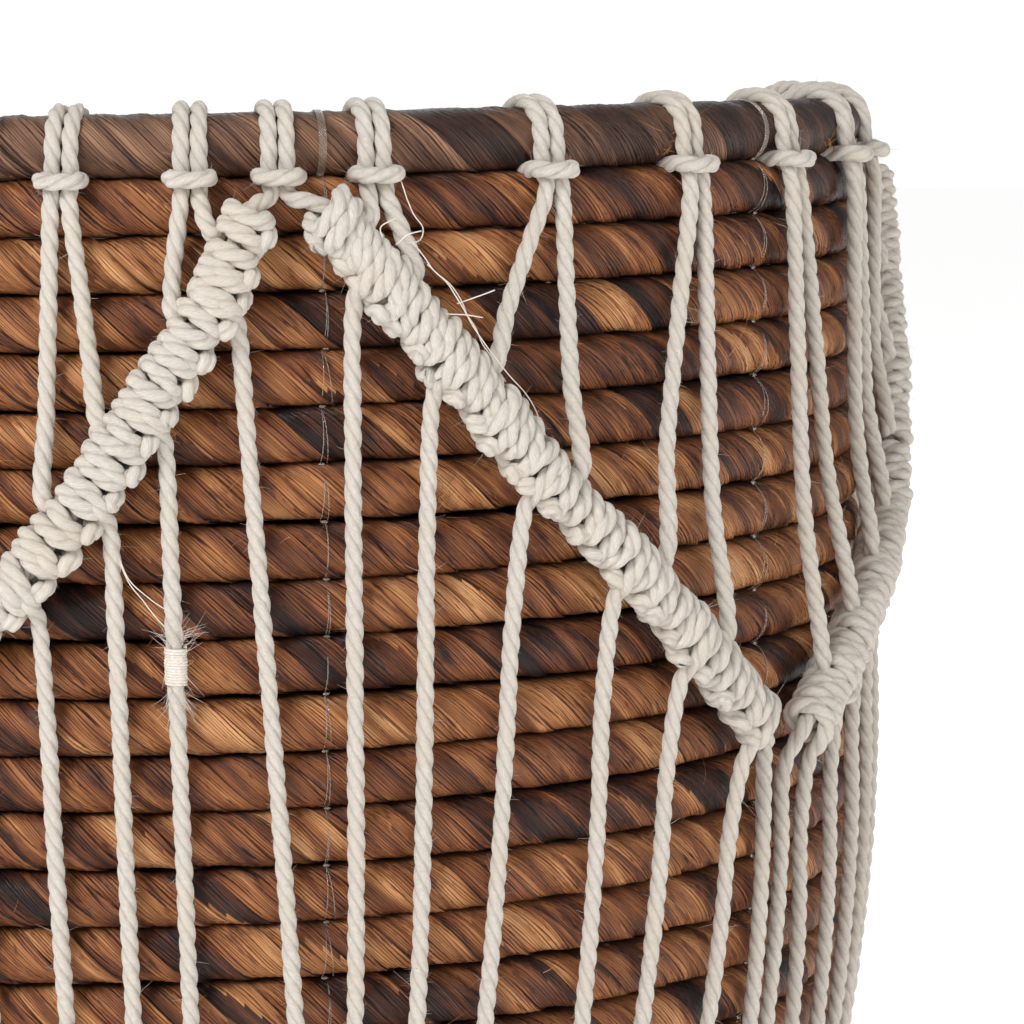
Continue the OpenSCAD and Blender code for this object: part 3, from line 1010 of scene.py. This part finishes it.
def stitches():
    """Columns of clear stitches. Each runs over one coil from gap to gap, with a knot at each gap."""
    rng = np.random.default_rng(5)
    parts = []
    for column in range(REPEAT_COUNT * len(STITCH_ANGLES)):
        repeat, which = divmod(column, len(STITCH_ANGLES))
        angle = FIRST_PEAK_ANGLE + repeat * REPEAT_ANGLE + STITCH_ANGLES[which]
        turn_share = float(climb_angle(angle)) / 360
        drops = rope_drop(np.arange(-1, COIL_COUNT) - turn_share)
        for coil, drop in enumerate(drops):
            over_rim = coil == 0
            radius = (RIM_RADIUS if over_rim else ROPE_RADIUS) + 0.45
            wander = rng.normal(0, 0.12, 2)
            spread = rng.uniform(0.0, 0.55)
            leans = RIM_STITCH_LEANS if over_rim else (-spread, spread)
            around = np.radians(np.linspace(200, -75, 40) if over_rim else np.linspace(66, -66, 14))
            share = np.linspace(0, 1, len(around))
            for lean in leans:
                leaning = lean if over_rim else lean * share
                at = angle + wander[0] + (wander[1] - wander[0]) * share + leaning
                line = wall_place(at, drop - radius * np.sin(around), radius * np.cos(around))
                parts.append(tube(line, THREAD_RADIUS))
            knot_drop = drop + (RIM_DROP if over_rim else COIL_PITCH) / 2
            knot_angles = angle + wander[0] + np.linspace(-0.25, 0.25, len(KNOT_BULGES))
            parts.append(thread_knot(wall_place(knot_angles, knot_drop, 4.0)))
    points, quads = join(parts)
    make_piece("stitches", points, quads, "basket", thread, ("stitching",))


stitches()


# ---- Loose ends ----

YARN_RADIUS = 0.15

# Thin yarn that has come loose beside the band: angle, drop and offset of each place along it.
LOOSE_YARNS = [
    [(14.4, 22, 18), (15.9, 28.5, 18.5), (17.5, 34, 18.5), (19.1, 43, 18), (21.6, 53.5, 17), (24, 61, 14),
     (26.6, 72, 9)],
    [(15.6, 28, 18), (17.2, 33, 19), (18.6, 40.5, 18.5), (20.6, 50, 16), (22.4, 56.5, 12)],
    [(17.9, 37.5, 17), (19.3, 36, 18.5), (20.5, 34.5, 19)],
    [(17, 39.5, 18), (18.4, 40, 19), (19.6, 40.5, 19.5)],
    [(12.4, 21.5, 19), (12, 19, 21.5), (13, 17, 23)],
    [(13.2, 23, 19.5), (13.9, 21, 22), (14.8, 20.2, 22.5)],
    [(14.2, 9, 13), (15, 16, 14.5), (15.7, 19.5, 14.5), (15.4, 22.5, 15), (14.4, 23, 17)],
    [(9.2, 11, 15), (8.8, 15, 17), (10, 17.5, 17), (11, 14.5, 16)],
    [(-6.6, 92, 12), (-6.1, 96.5, 12.5), (-4.6, 104.5, 11.5), (-2.6, 112.5, 10)],
    [(-6.4, 93, 12.5), (-5.6, 99, 13.5), (-4, 104, 12), (-2.4, 108, 10)],
]
SPLICE_ANGLE = -2.3
SPLICE_DROPS = (114, 126)
WHIPPING_DROPS = (115.5, 124)
WHIPPING_RADIUS = 2.35
WHIPPING_TURNS = 13
WHIPPING_THREAD_RADIUS = 0.38
FRAYED_FIBRES = 70


def cotton_ends():
    """Loose yarns beside the first peak, and the wrapped splice with frayed ends in the strand left of it."""
    rng = np.random.default_rng(41)
    parts = []
    for places in LOOSE_YARNS:
        line, _ = curve_through([net_place(*place) for place in places], 0.8)
        line = line + np.stack([smooth_noise(rng, len(line), 6) for _ in range(3)], axis=1) * 0.25
        parts.append(tube(line, YARN_RADIUS))
    for drop, way_down in zip(SPLICE_DROPS, (-0.35, 1.0)):
        count = FRAYED_FIBRES
        turn = rng.uniform(0, TURN, count)
        drops = drop + rng.normal(0, 2.2, count)
        middle = net_place(SPLICE_ANGLE, drops, STRAND_OFFSET)
        sideways = np.stack([np.cos(turn), np.sin(turn), np.zeros(count)], axis=1)
        ways = unit(sideways * 0.5 + np.array([0.25, -0.1, -way_down]) + rng.normal(0, 0.22, (count, 3)))
        bends = rng.normal(0, 0.35, (count, 3))
        lengths = rng.uniform(2, 6.5, count)
        parts.append(hair_tubes(middle + sideways * 1.6, ways, bends, lengths, 0.09, 5))
    share = np.linspace(0, 1, WHIPPING_TURNS * 24)
    turn = share * WHIPPING_TURNS * TURN
    middle = net_place(SPLICE_ANGLE, np.interp(share, (0, 1), WHIPPING_DROPS), STRAND_OFFSET)
    reach = WHIPPING_RADIUS + 0.12 * smooth_noise(rng, len(share), 19)
    winding = middle + reach[:, None] * np.stack([np.cos(turn), np.sin(turn), np.zeros(len(turn))], axis=1)
    parts.append(tube(winding, WHIPPING_THREAD_RADIUS))
    points, quads = join(parts)
    uv = np.zeros((len(quads), 4, 2))
    uv[..., 0] = PLY_WIDTH / 2
    uv[..., 1] = (np.arange(len(quads)) % 61)[:, None]
    make_piece("loose_yarn", points, quads, "basket", cotton, (), uv)


# Spots where leaf fibres have come loose in a bunch: angle, drop, spread and number.
LEAF_TUFTS = [(38.5, 0.5, 3.5, 26), (17.6, 84, 3, 40), (41, 10, 3, 14), (64, 3, 4, 16)]


SINGLE_LEAF_FIBRES = 420


def leaf_ends():
    """Loose leaf fibres: single ones all over the wall, and a few bunches."""
    rng = np.random.default_rng(43)
    angles = [rng.uniform(0, 360, SINGLE_LEAF_FIBRES)]
    drops = [rng.uniform(8, 300, SINGLE_LEAF_FIBRES)]
    for angle, drop, spread, count in LEAF_TUFTS:
        angles.append(angle + rng.normal(0, spread / 4, count))
        drops.append(drop + rng.normal(0, spread / 2, count))
    angles = np.concatenate(angles)
    drops = np.concatenate(drops)
    roots = wall_place(angles, drops, ROPE_RADIUS - 0.4)
    outs = wall_place(angles, drops, ROPE_RADIUS + 0.6) - roots
    sides = unit(np.cross(outs, [0, 0, 1.0]))
    downs = np.cross(sides, outs)
    count = len(angles)
    turned = rng.choice([-1, 1, 1], (count, 1))
    fall = rng.normal(1.0, 0.6, (count, 1))
    lifted = rng.uniform(0.1, 0.45, (count, 1))
    ways = unit(downs * fall - sides * turned + outs * lifted)
    bends = rng.normal(0, 0.35, (count, 3)) - outs * 0.25
    points, quads = hair_tubes(roots, ways, bends, rng.uniform(3, 11, count), 0.08, 6)
    tones = even_tones(len(quads), np.repeat(rng.uniform(-0.2, 0.45, count), len(quads) // count)[:, None])
    uv = np.zeros((len(quads), 4, 2))
    uv[..., 0] = np.repeat(np.arange(count) * 0.37, len(quads) // count)[:, None]
    make_piece("loose_leaf_fibres", points, quads, "basket", leaf, (), uv, tones)


cotton_ends()
leaf_ends()


# ---- Liner ----

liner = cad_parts["liner"]
liner.data.materials.clear()
liner.data.materials.append(liner_plastic)


# ---- Room and light ----

def make_floor():
    n = Nodes("floor")
    place = n.add("ShaderNodeTexCoord").outputs["Object"]
    n.set(Base_Color=n.mix(n.noise(place, 3.0), (0.86, 0.86, 0.85, 1), (0.90, 0.90, 0.89, 1)), Roughness=0.8)
    n.set(Emission_Color=(1, 1, 1, 1), Emission_Strength=0.62)
    mesh = bpy.data.meshes.new("floor")
    half = 12.0
    mesh.from_pydata(
        [(-half, -half, 0), (half, -half, 0), (half, half, 0), (-half, half, 0)], [], [(0, 1, 2, 3)]
    )
    floor = bpy.data.objects.new("floor", mesh)
    mesh.materials.append(n.material)
    bpy.context.scene.collection.objects.link(floor)


def make_light(name, place, aim, size, power):
    data = bpy.data.lights.new(name, "AREA")
    data.shape = "DISK"
    data.size = size
    data.energy = power
    light = bpy.data.objects.new(name, data)
    light.location = place
    light.rotation_mode = "QUATERNION"
    light.rotation_quaternion = (Vector(aim) - Vector(place)).to_track_quat("-Z", "Y")
    bpy.context.scene.collection.objects.link(light)


def make_world():
    world = bpy.data.worlds.new("studio")
    world.use_nodes = True
    tree = world.node_tree
    background = tree.nodes["Background"]
    background.inputs["Color"].default_value = (1, 1, 1, 1)
    background.inputs["Strength"].default_value = 0.40
    bright = tree.nodes.new("ShaderNodeBackground")
    bright.inputs["Color"].default_value = (1, 1, 1, 1)
    bright.inputs["Strength"].default_value = 1.05
    mix = tree.nodes.new("ShaderNodeMixShader")
    path = tree.nodes.new("ShaderNodeLightPath")
    tree.links.new(path.outputs["Is Camera Ray"], mix.inputs[0])
    tree.links.new(background.outputs[0], mix.inputs[1])
    tree.links.new(bright.outputs[0], mix.inputs[2])
    tree.links.new(mix.outputs[0], tree.nodes["World Output"].inputs["Surface"])
    bpy.context.scene.world = world


bpy.context.scene.view_settings.view_transform = "Standard"
make_floor()
make_world()
aim = (0, 0, RIM_Z * MM * 0.8)
make_light("key", (-1.3, -1.9, 1.9), aim, 1.1, 50)
make_light("fill", (1.8, -1.6, 0.9), aim, 1.6, 9)
make_light("back", (0.3, 2.2, 1.6), aim, 1.6, 16)
